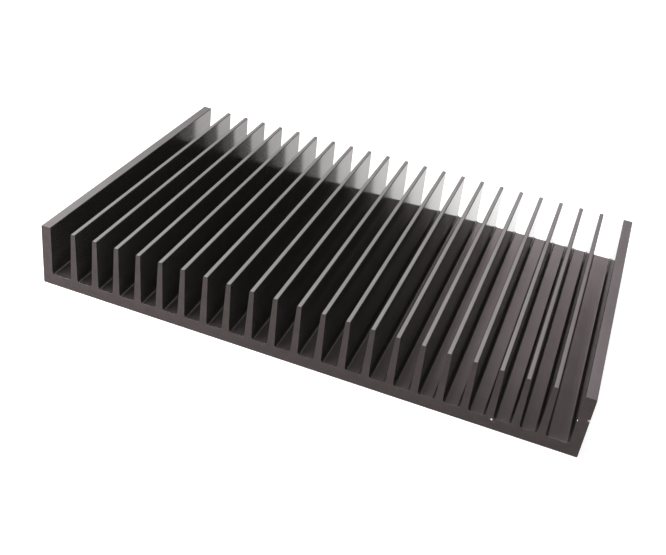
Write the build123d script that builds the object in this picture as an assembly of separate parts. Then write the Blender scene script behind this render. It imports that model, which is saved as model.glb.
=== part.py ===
# Extruded aluminium heat sink: a flat base, two plain end walls and a row of
# tapered fins, all in one piece and sawn to length.
# Millimetres. X runs across the fins, Y along the extrusion, Z up, fins on top.
# The origin is the middle of the base's underside.
from build123d import *
import os

# Section of the extrusion
overall_width = 300.0   # between the outer faces of the end walls
overall_height = 36.5   # underside of the base to the tips of fins and walls
base_thickness = 6.9
wall_thickness = 5.7    # end walls, the same from floor to tip
end_channel = 11.7      # floor between an end wall and the fin next to it
fin_count = 21          # between the end walls
fin_root = 4.1          # fin thickness at the floor
fin_tip = 2.5           # fin thickness at the tip
root_radius = 1.5       # where fins and walls rise from the floor
tip_radius = 0.6        # long edges of the tips
heel_radius = 0.6       # long lower edges of the base

# Length that the saw leaves
cut_length = 193.0

same_height = 1e-4      # corners this close in height are picked together

# Places that follow from the sizes above
half_width = overall_width / 2
outer_fin_x = half_width - wall_thickness - end_channel - fin_root / 2
fin_pitch = 2 * outer_fin_x / (fin_count - 1)


def base_section():
    """The base plate, resting on Z = 0."""
    return Rectangle(overall_width, base_thickness, align=(Align.CENTER, Align.MIN))


def wall_section(side):
    """One end wall; side is -1 for the left wall and +1 for the right one."""
    middle_x = side * (half_width - wall_thickness / 2)
    return Pos(middle_x, 0) * Rectangle(wall_thickness, overall_height, align=(Align.CENTER, Align.MIN))


def fin_section(middle_x):
    """One fin, thinner towards its tip, standing on the floor."""
    corners = [
        (-fin_root / 2, base_thickness),
        (fin_root / 2, base_thickness),
        (fin_tip / 2, overall_height),
        (-fin_tip / 2, overall_height),
    ]
    return Pos(middle_x, 0) * Polygon(*corners, align=None)


def corners_at(section, level):
    """The corners of a section that lie at one height."""
    return [v for v in section.vertices() if abs(v.Y - level) < same_height]


def comb_section():
    """The whole profile, with its roots, tips and heels rounded."""
    fins = [fin_section(index * fin_pitch - outer_fin_x) for index in range(fin_count)]
    section = base_section() + wall_section(-1) + wall_section(1) + fins
    section = fillet(corners_at(section, base_thickness), root_radius)
    section = fillet(corners_at(section, overall_height), tip_radius)
    return fillet(corners_at(section, 0), heel_radius)


def heat_sink():
    """The profile drawn out along Y, half the length each way."""
    body = extrude(Plane.XZ * comb_section(), amount=cut_length / 2, both=True)
    body.label = "heat_sink"
    return body


os.makedirs("parts", exist_ok=True)
export_step(heat_sink(), "parts/heat_sink.step")
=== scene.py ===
import math

import bmesh
import bpy
from mathutils import Matrix, Quaternion, Vector, noise


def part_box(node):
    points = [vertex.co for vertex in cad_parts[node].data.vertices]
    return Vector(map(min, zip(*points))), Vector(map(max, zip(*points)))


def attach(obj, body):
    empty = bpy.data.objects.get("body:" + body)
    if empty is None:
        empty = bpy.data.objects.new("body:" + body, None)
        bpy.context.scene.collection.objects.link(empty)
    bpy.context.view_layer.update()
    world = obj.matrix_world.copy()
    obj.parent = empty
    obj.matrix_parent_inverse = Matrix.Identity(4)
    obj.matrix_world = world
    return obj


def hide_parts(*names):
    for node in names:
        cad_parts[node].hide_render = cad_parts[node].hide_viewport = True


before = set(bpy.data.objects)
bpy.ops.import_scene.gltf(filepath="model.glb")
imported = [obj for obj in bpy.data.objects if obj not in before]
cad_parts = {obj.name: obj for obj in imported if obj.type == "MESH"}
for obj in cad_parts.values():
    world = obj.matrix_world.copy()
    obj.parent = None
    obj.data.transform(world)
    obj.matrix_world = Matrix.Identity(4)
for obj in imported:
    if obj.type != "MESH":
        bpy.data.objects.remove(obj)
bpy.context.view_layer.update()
sinkLow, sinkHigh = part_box("heat_sink")
sinkSize = sinkHigh - sinkLow
print("frame: heat sink", [round(v * 1000, 1) for v in sinkSize], "mm")

# section of the extrusion in metres; width, length and height come from the frame
sinkSizes = {
    "baseThickness": 0.0069,
    "wallThickness": 0.0057,
    "endChannel": 0.0117,  # floor between an end wall and the first fin
    "finCount": 21,
    "finRoot": 0.0041,
    "finTip": 0.0025,
    "rootRadius": 0.0015,  # where fins and walls rise from the floor
    "rootSteps": 7,
    "tipRadius": 0.0006,
    "tipSteps": 5,
    "heelRadius": 0.0006,  # long lower edges of the base
    "heelSteps": 4,
    "sawnEdge": 0.0001,  # softness that the saw and the anodising leave
    "sawnSteps": 2,
    "sawnFacing": 0.7,  # faces turned this far to the cut take the saw's finish
}
skinSlot, sawnSlot = 0, 1  # order of the materials on the piece

# places that follow from the sizes
frontY = sinkLow.y
wallInside = sinkHigh.x - sinkSizes["wallThickness"]
endFloor = wallInside - sinkSizes["endChannel"]  # foot of the outermost fin
halfRoot = sinkSizes["finRoot"] / 2

near = 1e-6  # metres, for picking edges by their place
square = 0.99  # a normal with this much of an axis faces along it
flatAngle = math.radians(0.05)  # neighbours that differ less become one face


def finMiddles():
    outer = endFloor - halfRoot
    pitch = 2 * outer / (sinkSizes["finCount"] - 1)
    return [i * pitch - outer for i in range(sinkSizes["finCount"])]


def meshObject(bm, name):
    mesh = bpy.data.meshes.new(name)
    bm.to_mesh(mesh)
    bm.free()
    made = bpy.data.objects.new(name, mesh)
    bpy.context.scene.collection.objects.link(made)
    return made


def roundEdges(bm, edges, radius, steps):
    bmesh.ops.bevel(bm, geom=edges, offset=radius, offset_type="OFFSET", segments=steps,
                    profile=0.5, affect="EDGES", material=-1, clamp_overlap=False)


def lengthwiseEdges(bm, level):
    found = []
    for edge in bm.edges:
        a, b = (v.co for v in edge.verts)
        alongY = abs(a.x - b.x) < near and abs(a.y - b.y) > near
        if alongY and abs(a.z - level) < near and abs(b.z - level) < near:
            found.append(edge)
    return found


def sawnEdges(bm):
    found = []
    for edge in bm.edges:
        ends = [f for f in edge.link_faces if abs(f.normal.y) > square]
        if len(ends) == 1:
            found.append(edge)
    return found


# the base's top is cut where walls and fins stand, and those strips are drawn up
def raiseUprights(bm):
    s = sinkSizes
    middles = finMiddles()
    cuts = [-wallInside, wallInside]
    for middle in middles:
        cuts += [middle - halfRoot, middle + halfRoot]
    for x in cuts:
        everything = bm.verts[:] + bm.edges[:] + bm.faces[:]
        bmesh.ops.bisect_plane(bm, geom=everything, plane_co=(x, 0, 0), plane_no=(1, 0, 0), dist=near)

    bm.normal_update()
    tops = []
    for face in bm.faces:
        x = face.calc_center_median().x
        inFin = min(abs(x - middle) for middle in middles) < halfRoot
        if face.normal.z > square and (inFin or abs(x) > wallInside):
            tops.append(face)

    rise = sinkSize.z - s["baseThickness"]
    for face in bmesh.ops.extrude_discrete_faces(bm, faces=tops)["faces"]:
        corners = face.verts[:]
        bmesh.ops.translate(bm, vec=(0, 0, rise), verts=corners)
        x = face.calc_center_median().x
        if abs(x) < wallInside:  # only the fins taper
            toMiddle = Matrix.Translation((-x, 0, 0))
            bmesh.ops.scale(bm, vec=(s["finTip"] / s["finRoot"], 1, 1), space=toMiddle, verts=corners)


def softenEdges(bm):
    s = sinkSizes
    bmesh.ops.dissolve_limit(bm, angle_limit=flatAngle, verts=bm.verts[:], edges=bm.edges[:])
    roundEdges(bm, lengthwiseEdges(bm, s["baseThickness"]), s["rootRadius"], s["rootSteps"])
    roundEdges(bm, lengthwiseEdges(bm, sinkSize.z), s["tipRadius"], s["tipSteps"])
    roundEdges(bm, lengthwiseEdges(bm, 0.0), s["heelRadius"], s["heelSteps"])
    bm.normal_update()
    roundEdges(bm, sawnEdges(bm), s["sawnEdge"], s["sawnSteps"])
    bmesh.ops.recalc_face_normals(bm, faces=bm.faces[:])


def makeHeatSink():
    s = sinkSizes
    bm = bmesh.new()
    bmesh.ops.create_cube(bm, size=1.0)
    bmesh.ops.scale(bm, vec=(sinkSize.x, sinkSize.y, s["baseThickness"]), verts=bm.verts)
    bmesh.ops.translate(bm, vec=(0, 0, s["baseThickness"] / 2), verts=bm.verts)
    raiseUprights(bm)
    softenEdges(bm)
    bm.normal_update()
    for face in bm.faces:
        isSawn = abs(face.normal.y) > s["sawnFacing"]
        face.material_index = sawnSlot if isSawn else skinSlot
    made = meshObject(bm, "heatSinkExtrusion")
    print("heat sink:", len(made.data.polygons), "faces")
    return made


# what handling and the saw left, in metres from the middle of the underside
wear = {
    "nicks": [
        # pit in the base's front
        {"middle": (0.1057, frontY, 0.0061), "reach": (0.00055, 0.0004, 0.00055)},
        # bite in the right wall's outer edge, and a small one in its inner edge
        {"middle": (sinkHigh.x, frontY, 0.0236), "reach": (0.0013, 0.0015, 0.0008)},
        {"middle": (wallInside, frontY, 0.0218), "reach": (0.0003, 0.0004, 0.0004)},
    ],
    "burrs": [
        # back edge of a floor
        {"middle": (0.1050, 0.0962, 0.0070), "reach": (0.0006, 0.0005, 0.0007)},
    ],
    "lumpSteps": 3,  # how finely a lump is divided
    "ragged": 0.25,  # share of the reach that the outline wanders
    "raggedScale": 1.4,
    "raggedShift": 1000,  # reads the noise far apart for each lump
}


def makeLumps(spots, material):
    bm = bmesh.new()
    for spot in spots:
        verts = bmesh.ops.create_icosphere(bm, subdivisions=wear["lumpSteps"], radius=1.0)["verts"]
        shift = Vector(spot["middle"]) * wear["raggedShift"]
        for v in verts:
            v.co *= 1 + wear["ragged"] * noise.noise(v.co * wear["raggedScale"] + shift)
        bmesh.ops.scale(bm, vec=spot["reach"], verts=verts)
        bmesh.ops.translate(bm, vec=spot["middle"], verts=verts)
    lumps = meshObject(bm, "lumps")
    lumps.data.materials.append(material)
    return lumps


# cuts lumps out of the piece, or joins them to it, for good
def carve(piece, spots, material, operation):
    lumps = makeLumps(spots, material)
    change = piece.modifiers.new("carve", "BOOLEAN")
    change.operation = operation
    change.solver = "EXACT"
    change.material_mode = "TRANSFER"
    change.object = lumps
    depsgraph = bpy.context.evaluated_depsgraph_get()
    carved = bpy.data.meshes.new_from_object(piece.evaluated_get(depsgraph), depsgraph=depsgraph)
    piece.modifiers.remove(change)
    whole = piece.data
    piece.data = carved
    bpy.data.meshes.remove(whole)
    bpy.data.meshes.remove(lumps.data)  # the lumps go with their mesh
    print("wear:", operation.lower(), len(spots), "lumps,", len(carved.polygons), "faces")


def finishHeatSink(piece):
    for face in piece.data.polygons:
        face.use_smooth = True
    flats = piece.modifiers.new("flatFacesKeepTheirNormal", "WEIGHTED_NORMAL")
    flats.weight = 100  # the most that broad faces can count
    flats.keep_sharp = False
    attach(piece, "root")
    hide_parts("heat_sink")
    print("heat sink: finished")


# small helpers: feed sets or links a socket, the others add nodes and hand back what comes out
def feed(tree, socket, value):
    if isinstance(value, bpy.types.NodeSocket):
        tree.links.new(value, socket)
    else:
        socket.default_value = value


def mathNode(tree, operation, *values):
    node = tree.nodes.new("ShaderNodeMath")
    node.operation = operation
    for socket, value in zip(node.inputs, values):
        feed(tree, socket, value)
    return node.outputs["Value"]


def vectorNode(tree, operation, a, b):
    node = tree.nodes.new("ShaderNodeVectorMath")
    node.operation = operation
    feed(tree, node.inputs[0], a)
    feed(tree, node.inputs[1], b)
    return node.outputs["Vector"]


def lengthNode(tree, reach):
    node = tree.nodes.new("ShaderNodeVectorMath")
    node.operation = "LENGTH"
    feed(tree, node.inputs[0], reach)
    return node.outputs["Value"]


def scaleColor(tree, color, amount):
    node = tree.nodes.new("ShaderNodeVectorMath")
    node.operation = "SCALE"
    feed(tree, node.inputs[0], color)
    feed(tree, node.inputs["Scale"], amount)
    return node.outputs["Vector"]


def rampNode(tree, value, start, end, toStart=0.0, toEnd=1.0, kind="SMOOTHSTEP"):
    node = tree.nodes.new("ShaderNodeMapRange")
    node.interpolation_type = kind
    feed(tree, node.inputs["Value"], value)
    feed(tree, node.inputs["From Min"], start)
    feed(tree, node.inputs["From Max"], end)
    feed(tree, node.inputs["To Min"], toStart)
    feed(tree, node.inputs["To Max"], toEnd)
    return node.outputs["Result"]


# a mask from 0 to 1 becomes a factor that swings about 1
def swing(tree, mask, contrast):
    return rampNode(tree, mask, 0, 1, 1 - contrast, 1 + contrast, kind="LINEAR")


def mixNode(tree, kind, factor, a, b):
    node = tree.nodes.new("ShaderNodeMix")
    node.data_type = kind
    feed(tree, node.inputs["Factor"], factor)
    feed(tree, node.inputs["A"], a)
    feed(tree, node.inputs["B"], b)
    return node.outputs["Result"]


def mixColor(tree, factor, a, b):
    return mixNode(tree, "RGBA", factor, a, b)


def mixValue(tree, factor, a, b):
    return mixNode(tree, "FLOAT", factor, a, b)


def mappingNode(tree, place, scale=(1, 1, 1), shift=(0, 0, 0)):
    node = tree.nodes.new("ShaderNodeMapping")
    feed(tree, node.inputs["Vector"], place)
    node.inputs["Scale"].default_value = scale
    node.inputs["Location"].default_value = shift
    return node.outputs["Vector"]


def noiseNode(tree, place, scale, detail=2.0, roughness=0.5):
    node = tree.nodes.new("ShaderNodeTexNoise")
    feed(tree, node.inputs["Vector"], place)
    feed(tree, node.inputs["Scale"], scale)
    node.inputs["Detail"].default_value = detail
    node.inputs["Roughness"].default_value = roughness
    return node.outputs["Fac"]


def bumpNode(tree, height, distance):
    node = tree.nodes.new("ShaderNodeBump")
    feed(tree, node.inputs["Height"], height)
    node.inputs["Distance"].default_value = distance
    return node.outputs["Normal"]


def objectPlace(tree):
    return tree.nodes.new("ShaderNodeTexCoord").outputs["Object"]


def groupNode(tree, group, **values):
    node = tree.nodes.new("ShaderNodeGroup")
    node.node_tree = group
    for name, value in values.items():
        feed(tree, node.inputs[name], value)
    return node.outputs


# a new shader group from the names and kinds of its sockets, with its two ends
def startGroup(name, inputs, outputs):
    tree = bpy.data.node_groups.new(name, "ShaderNodeTree")
    for socketName, kind in inputs.items():
        tree.interface.new_socket(socketName, in_out="INPUT", socket_type=kind)
    for socketName, kind in outputs.items():
        tree.interface.new_socket(socketName, in_out="OUTPUT", socket_type=kind)
    entry = tree.nodes.new("NodeGroupInput")
    leave = tree.nodes.new("NodeGroupOutput")
    return tree, entry.outputs, leave.inputs


def startMaterial(name):
    material = bpy.data.materials.new(name)
    material.use_nodes = True
    tree = material.node_tree
    return material, tree, tree.nodes["Principled BSDF"]


number, vector = "NodeSocketFloat", "NodeSocketVector"  # kinds of group sockets

dyeLooks = {
    "detail": 3.0,
    "roughness": 0.6,
    "span": (0.3, 0.7),  # noise from the darkest to the lightest dye
}


# soft patches of lighter and darker dye
def makeDyeMottle():
    look = dyeLooks
    tree, entry, leave = startGroup("dyeMottle", {"Place": vector, "Scale": number}, {"Patches": number})
    broad = noiseNode(tree, entry["Place"], entry["Scale"], look["detail"], look["roughness"])
    feed(tree, leave["Patches"], rampNode(tree, broad, *look["span"]))
    return tree


dieLooks = {
    "drawnOut": (1, 0.002, 1),  # the pattern is drawn out along the extrusion
    "fineScale": 2600.0,
    "fineRoughness": 0.6,
    "broadScale": 520.0,
    "broadShare": 0.4,
    "span": (0.3, 0.7),
}


# fine lines that the die leaves along the extrusion
def makeDieLines():
    look = dieLooks
    tree, entry, leave = startGroup("dieLines", {"Place": vector}, {"Lines": number, "Height": number})
    drawn = mappingNode(tree, entry["Place"], scale=look["drawnOut"])
    fine = noiseNode(tree, drawn, look["fineScale"], roughness=look["fineRoughness"])
    broad = noiseNode(tree, drawn, look["broadScale"])
    both = mixValue(tree, look["broadShare"], fine, broad)
    feed(tree, leave["Lines"], rampNode(tree, both, *look["span"]))
    feed(tree, leave["Height"], both)
    return tree


sawLooks = {
    "bladeMiddle": (-0.06, 0, -0.21),  # metres, well below the base
    "arcScale": 420.0,
    "arcDistortion": 1.5,
    "arcDetail": 2.0,
    "arcDetailScale": 1.2,
    "gritStretch": (1, 1, 0.35),  # scratches stand upright
    "gritScale": 1500.0,
    "gritDetail": 3.0,
    "gritRoughness": 0.65,
    "gritShare": 0.7,
    "span": (0.25, 0.75),
}


# wide arcs and fine scratches that the saw leaves across a cut end
def makeSawMarks():
    look = sawLooks
    tree, entry, leave = startGroup("sawMarks", {"Place": vector}, {"Marks": number, "Height": number})
    place = entry["Place"]
    arcs = tree.nodes.new("ShaderNodeTexWave")
    arcs.wave_type = "RINGS"
    arcs.rings_direction = "Y"
    feed(tree, arcs.inputs["Vector"], mappingNode(tree, place, shift=-Vector(look["bladeMiddle"])))
    arcs.inputs["Scale"].default_value = look["arcScale"]
    arcs.inputs["Distortion"].default_value = look["arcDistortion"]
    arcs.inputs["Detail"].default_value = look["arcDetail"]
    arcs.inputs["Detail Scale"].default_value = look["arcDetailScale"]
    upright = mappingNode(tree, place, scale=look["gritStretch"])
    grit = noiseNode(tree, upright, look["gritScale"], look["gritDetail"], look["gritRoughness"])
    both = mixValue(tree, look["gritShare"], arcs.outputs["Fac"], grit)
    feed(tree, leave["Marks"], rampNode(tree, both, *look["span"]))
    feed(tree, leave["Height"], both)
    return tree


scuffLooks = {
    "raggedScale": 2200.0,
    "raggedLift": 0.5,  # added to the noise, whose mean is 0.5, so the reach stays about as written
    "fade": (0.5, 1.05),  # shares of the reach, where a scuff starts to fade and is gone
}


# one ragged scuff, longer than wide and turned about Y
def makeScuff():
    look = scuffLooks
    sockets = {"Place": vector, "Middle": vector, "Reach": vector, "Turn": number}
    tree, entry, leave = startGroup("scuff", sockets, {"Bare": number})
    turned = tree.nodes.new("ShaderNodeVectorRotate")
    turned.rotation_type = "Y_AXIS"
    feed(tree, turned.inputs["Vector"], entry["Place"])
    feed(tree, turned.inputs["Center"], entry["Middle"])
    feed(tree, turned.inputs["Angle"], entry["Turn"])
    away = vectorNode(tree, "SUBTRACT", turned.outputs["Vector"], entry["Middle"])
    away = vectorNode(tree, "DIVIDE", away, entry["Reach"])
    ragged = noiseNode(tree, entry["Place"], look["raggedScale"])
    ragged = mathNode(tree, "ADD", ragged, look["raggedLift"])
    share = mathNode(tree, "DIVIDE", lengthNode(tree, away), ragged)
    feed(tree, leave["Bare"], rampNode(tree, share, *look["fade"], 1.0, 0.0))
    return tree


skinLooks = {
    "sideColor": (0.17, 0.161, 0.155, 1),  # channel sides
    "floorColor": (0.195, 0.160, 0.165),
    "endFloorPaintedLight": 1.3,  # painted light: floors beside the end walls lighter than the other floors, against the end walls' shade
    "tipColor": (0.29, 0.268, 0.269, 1),
    # painted shade: tips darker towards the right wall, where less light falls
    "rightTipPaintedShadeColor": (0.205, 0.172, 0.18, 1),
    "rightTipPaintedShadeSpan": (0.075, 0.147),  # metres right of the middle, where painted shade darkens the tips
    "wallTopPaintedShade": 0.82,  # painted shade: tops of the end walls darker than the tips of the fins
    "outerColor": (0.10, 0.088, 0.086, 1),  # outer faces and underside
    "sideRoughness": 0.14,
    "floorRoughness": 0.2,
    "tipRoughness": 0.45,
    "outerRoughness": 0.36,
    "metallic": 0.81,
    "tipMetallic": 0.1,
    "edgeTint": (0.80, 0.80, 0.80, 1),  # reflection at a glancing angle
    "tipFade": (0.00012, 0.00004),  # metres below the top, where a tip starts and is whole
    "floorFade": (0.0001, 0.0009),  # metres above the floor, where it starts to end and is gone
    "outerFade": (0.0002, 0.00005),  # metres inside an outer face, where it starts and is whole
    "underFade": (0.0002, 0.0006),  # metres above the underside, where it starts to end and is gone
    "patchScale": 45.0,
    "patchContrast": 0.06,
    "lineContrast": 0.05,
    "lineRoughness": 0.03,
    "lineDepth": 0.000005,
}


def makeSkin(groups):
    look = skinLooks
    material, tree, bsdf = startMaterial("anodisedSkin")
    bsdf.inputs["Specular Tint"].default_value = look["edgeTint"]
    place = objectPlace(tree)
    axes = tree.nodes.new("ShaderNodeSeparateXYZ")
    feed(tree, axes.inputs["Vector"], place)
    x, z = axes.outputs["X"], axes.outputs["Z"]
    across = mathNode(tree, "ABSOLUTE", x)

    # where on the section: tip, floor, outer face or, with none of them, channel side
    tip = rampNode(tree, z, *[sinkHigh.z - below for below in look["tipFade"]])
    floorLevel = sinkSizes["baseThickness"]
    floor = rampNode(tree, z, *[floorLevel + above for above in look["floorFade"]], 1.0, 0.0)
    outward = rampNode(tree, across, *[sinkHigh.x - inside for inside in look["outerFade"]])
    under = rampNode(tree, z, *look["underFade"], 1.0, 0.0)
    outer = mathNode(tree, "MAXIMUM", outward, under)

    # painted shade: the tips grow darker towards the right wall
    paintedShadeRightward = rampNode(tree, x, *look["rightTipPaintedShadeSpan"])
    tipColor = mixColor(tree, paintedShadeRightward, look["tipColor"], look["rightTipPaintedShadeColor"])
    # painted shade: the tops of the end walls are darkened
    wallPaintedShade = rampNode(tree, across, endFloor, wallInside, 1.0, look["wallTopPaintedShade"])
    tipColor = scaleColor(tree, tipColor, wallPaintedShade)
    # painted light: the floors beside the end walls are lightened
    lastFin = endFloor - sinkSizes["finRoot"]
    paintedFloorLight = rampNode(tree, across, lastFin, endFloor, 1.0, look["endFloorPaintedLight"])
    floorColor = scaleColor(tree, look["floorColor"], paintedFloorLight)

    color = mixColor(tree, floor, look["sideColor"], floorColor)
    color = mixColor(tree, tip, color, tipColor)
    color = mixColor(tree, outer, color, look["outerColor"])
    rough = mixValue(tree, floor, look["sideRoughness"], look["floorRoughness"])
    rough = mixValue(tree, tip, rough, look["tipRoughness"])
    rough = mixValue(tree, outer, rough, look["outerRoughness"])
    metal = mixValue(tree, tip, look["metallic"], look["tipMetallic"])

    lines = groupNode(tree, groups["dieLines"], Place=place)
    patches = groupNode(tree, groups["dyeMottle"], Place=place, Scale=look["patchScale"])["Patches"]
    level = swing(tree, lines["Lines"], look["lineContrast"])
    level = mathNode(tree, "MULTIPLY", level, swing(tree, patches, look["patchContrast"]))
    rough = mathNode(tree, "MULTIPLY_ADD", lines["Lines"], look["lineRoughness"], rough)
    feed(tree, bsdf.inputs["Base Color"], scaleColor(tree, color, level))
    feed(tree, bsdf.inputs["Metallic"], metal)
    feed(tree, bsdf.inputs["Roughness"], rough)
    feed(tree, bsdf.inputs["Normal"], bumpNode(tree, lines["Height"], look["lineDepth"]))
    print("skin: die lines, dyed floors, tips and outer faces")
    return material


sawnLooks = {
    "warmColor": (0.0592, 0.0415, 0.0406, 1),
    "coolColor": (0.0458, 0.0401, 0.0399, 1),
    "tintScale": 320.0,  # patches of warm and cool
    "bareColor": (0.78, 0.77, 0.75, 1),  # metal that shows in the scuffs
    "roughness": 0.58,
    "specular": 0.2,
    "patchScale": 120.0,
    "patchContrast": 0.1,
    "markContrast": 0.12,
    "markRoughness": 0.06,
    "markDepth": 0.00002,
    # faint scuffs on the front cut, in metres from the middle of the underside
    "scuffs": [
        {"middle": (0.1072, frontY, 0.0047), "reach": (0.0013, 0.001, 0.0003), "turn": 35, "bare": 0.05},
        {"middle": (0.1085, frontY, 0.0034), "reach": (0.0010, 0.001, 0.0002), "turn": 35, "bare": 0.04},
        {"middle": (0.1415, frontY, 0.0067), "reach": (0.0017, 0.001, 0.0003), "turn": 0, "bare": 0.08},
    ],
}


def makeSawn(groups):
    look = sawnLooks
    material, tree, bsdf = startMaterial("sawnEnd")
    bsdf.inputs["Specular IOR Level"].default_value = look["specular"]
    place = objectPlace(tree)
    marks = groupNode(tree, groups["sawMarks"], Place=place)
    patches = groupNode(tree, groups["dyeMottle"], Place=place, Scale=look["patchScale"])["Patches"]
    level = swing(tree, marks["Marks"], look["markContrast"])
    level = mathNode(tree, "MULTIPLY", level, swing(tree, patches, look["patchContrast"]))
    tint = groupNode(tree, groups["dyeMottle"], Place=place, Scale=look["tintScale"])["Patches"]
    color = mixColor(tree, tint, look["warmColor"], look["coolColor"])
    color = scaleColor(tree, color, level)
    for spot in look["scuffs"]:
        turn = math.radians(spot["turn"])
        scuff = groupNode(tree, groups["scuff"], Place=place, Middle=spot["middle"],
                          Reach=spot["reach"], Turn=turn)["Bare"]
        bare = mathNode(tree, "MULTIPLY", scuff, spot["bare"])
        color = mixColor(tree, bare, color, look["bareColor"])
    rough = mathNode(tree, "MULTIPLY_ADD", marks["Marks"], look["markRoughness"], look["roughness"])
    feed(tree, bsdf.inputs["Base Color"], color)
    feed(tree, bsdf.inputs["Roughness"], rough)
    feed(tree, bsdf.inputs["Normal"], bumpNode(tree, marks["Height"], look["markDepth"]))
    print("sawn ends: saw marks and", len(look["scuffs"]), "scuffs")
    return material


bareLooks = {
    "color": (0.82, 0.81, 0.80),
    "shades": (0.85, 1.1),  # darkest and lightest grain against the colour
    "roughness": 0.3,
    "grainScale": 3000.0,
    "grainDetail": 3.0,
    "grainSpan": (0.3, 0.7),
    "grainRoughness": 0.15,
    "grainDepth": 0.00003,
}


# bright aluminium where a nick broke the skin
def makeBare():
    look = bareLooks
    material, tree, bsdf = startMaterial("bareAluminium")
    bsdf.inputs["Metallic"].default_value = 1.0
    grain = noiseNode(tree, objectPlace(tree), look["grainScale"], look["grainDetail"])
    level = rampNode(tree, grain, *look["grainSpan"], *look["shades"])
    rough = mathNode(tree, "MULTIPLY_ADD", grain, look["grainRoughness"], look["roughness"])
    feed(tree, bsdf.inputs["Base Color"], scaleColor(tree, look["color"], level))
    feed(tree, bsdf.inputs["Roughness"], rough)
    feed(tree, bsdf.inputs["Normal"], bumpNode(tree, grain, look["grainDepth"]))
    print("bare aluminium: set")
    return material


# floor, card and world, in metres
studio = {
    "floorSize": 20.0,
    "rimHeight": 1.2,  # the floor turns up at its far edges
    "floorColor": (0.88, 0.88, 0.88, 1),
    "cameraGlow": 0.65,  # white that the camera sees, on top of the lit floor
    "metalGlow": 1.0,  # white that the metal mirrors, on top of the lit floor
    "cardSize": (0.55, 0.62),  # a low white card stands far behind
    "cardPlace": (0.1, 1.3),
    "worldColor": (0.12, 0.12, 0.12, 1),
}


def makePaleFloor():
    material, tree, _ = startMaterial("paleFloor")
    tree.nodes.clear()
    paint = tree.nodes.new("ShaderNodeBsdfDiffuse")
    paint.inputs["Color"].default_value = studio["floorColor"]
    glow = tree.nodes.new("ShaderNodeEmission")
    rays = tree.nodes.new("ShaderNodeLightPath").outputs
    mirrored = mathNode(tree, "MAXIMUM", rays["Is Glossy Ray"], rays["Is Transmission Ray"])
    mirrored = mathNode(tree, "MULTIPLY", mirrored, studio["metalGlow"])
    seen = mathNode(tree, "MULTIPLY", rays["Is Camera Ray"], studio["cameraGlow"])
    feed(tree, glow.inputs["Strength"], mathNode(tree, "MAXIMUM", seen, mirrored))
    both = tree.nodes.new("ShaderNodeAddShader")
    feed(tree, both.inputs[0], paint.outputs["BSDF"])
    feed(tree, both.inputs[1], glow.outputs["Emission"])
    out = tree.nodes.new("ShaderNodeOutputMaterial")
    feed(tree, out.inputs["Surface"], both.outputs["Shader"])
    return material


def makeFloor():
    bm = bmesh.new()
    bmesh.ops.create_grid(bm, x_segments=1, y_segments=1, size=studio["floorSize"] / 2)
    rim = bmesh.ops.extrude_edge_only(bm, edges=bm.edges[:])["geom"]
    rimTop = [v for v in rim if isinstance(v, bmesh.types.BMVert)]
    bmesh.ops.translate(bm, vec=(0, 0, studio["rimHeight"]), verts=rimTop)

    card = bmesh.ops.create_grid(bm, x_segments=1, y_segments=1, size=0.5)["verts"]
    width, height = studio["cardSize"]
    upright = Matrix.Rotation(math.radians(90), 3, "X")
    bmesh.ops.scale(bm, vec=(width, height, 1), verts=card)
    bmesh.ops.rotate(bm, cent=(0, 0, 0), matrix=upright, verts=card)
    bmesh.ops.translate(bm, vec=(*studio["cardPlace"], height / 2), verts=card)

    floor = meshObject(bm, "floor")
    floor.data.materials.append(makePaleFloor())
    print("floor: pale, with a white card behind")


def makeWorld():
    world = bpy.data.worlds.new("studio")
    bpy.context.scene.world = world
    world.use_nodes = True
    world.node_tree.nodes["Background"].inputs["Color"].default_value = studio["worldColor"]
    print("world: dim grey")


# lamps in metres and watts, each turned to face its aim
softboxes = {
    "backBox": {"place": (0.035, 0.95, 0.57), "aim": (0.035, 0, 0.04), "size": (0.25, 0.35), "watts": 0.2},
    "leftBox": {"place": (-0.372, -0.312, 0.295), "aim": (0, 0, 0.04), "size": (0.4, 0.4), "watts": 3.5},
    "topBox": {"place": (0.15, 0.2, 1.24), "aim": (0.15, 0.2, 0.04), "size": (1.6, 1.5), "watts": 11.5},
}


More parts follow.
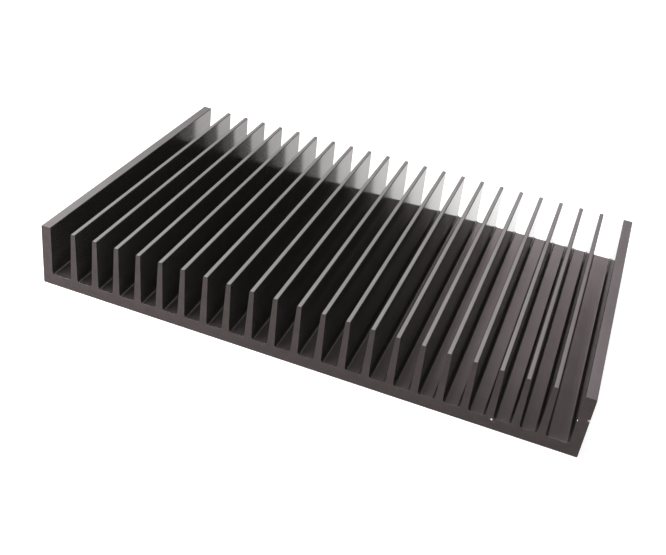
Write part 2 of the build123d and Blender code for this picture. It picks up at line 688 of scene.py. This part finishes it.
def makeLights():
    for name, box in softboxes.items():
        lamp = bpy.data.lights.new(name, "AREA")
        lamp.shape = "RECTANGLE"
        lamp.size, lamp.size_y = box["size"]
        lamp.energy = box["watts"]
        holder = bpy.data.objects.new(name, lamp)
        holder.location = box["place"]
        toAim = Vector(box["aim"]) - holder.location
        holder.rotation_mode = "QUATERNION"
        holder.rotation_quaternion = toAim.to_track_quat("-Z", "Y")
        bpy.context.scene.collection.objects.link(holder)
    print("lights:", len(softboxes), "softboxes")


# camera fitted to the photograph, in degrees, metres and, for the lens, millimetres
photoView = {
    "azimuth": 15.613,
    "elevation": 32.817,
    "roll": 8.36,
    "lookAt": (-0.00197, -0.03546, 0.01825),
    "distance": 0.5305,
    "lens": 50.855,
    "sensor": 36.0,
    "clip": (0.01, 200),
}


def makeCamera():
    view = photoView
    azimuth = math.radians(view["azimuth"])
    elevation = math.radians(view["elevation"])
    level = math.cos(elevation)
    back = Vector((math.sin(azimuth) * level, -math.cos(azimuth) * level, math.sin(elevation)))
    data = bpy.data.cameras.new("photoCamera")
    data.sensor_fit = "HORIZONTAL"
    data.sensor_width = view["sensor"]
    data.lens = view["lens"]
    data.clip_start, data.clip_end = view["clip"]
    camera = bpy.data.objects.new("photoCamera", data)
    camera.location = Vector(view["lookAt"]) + back * view["distance"]
    camera.rotation_mode = "QUATERNION"
    upright = (-back).to_track_quat("-Z", "Y")
    camera.rotation_quaternion = upright @ Quaternion((0, 0, 1), math.radians(view["roll"]))
    bpy.context.scene.collection.objects.link(camera)
    bpy.context.scene.camera = camera
    print("camera: set")


piece = makeHeatSink()
groups = {
    "dyeMottle": makeDyeMottle(),
    "dieLines": makeDieLines(),
    "sawMarks": makeSawMarks(),
    "scuff": makeScuff(),
}
print("shader groups:", ", ".join(groups))
skin = makeSkin(groups)
piece.data.materials.append(skin)  # skinSlot
piece.data.materials.append(makeSawn(groups))  # sawnSlot
carve(piece, wear["nicks"], makeBare(), "DIFFERENCE")
carve(piece, wear["burrs"], skin, "UNION")
finishHeatSink(piece)
makeFloor()
makeWorld()
makeLights()
makeCamera()
bpy.context.scene.view_settings.view_transform = "Standard"
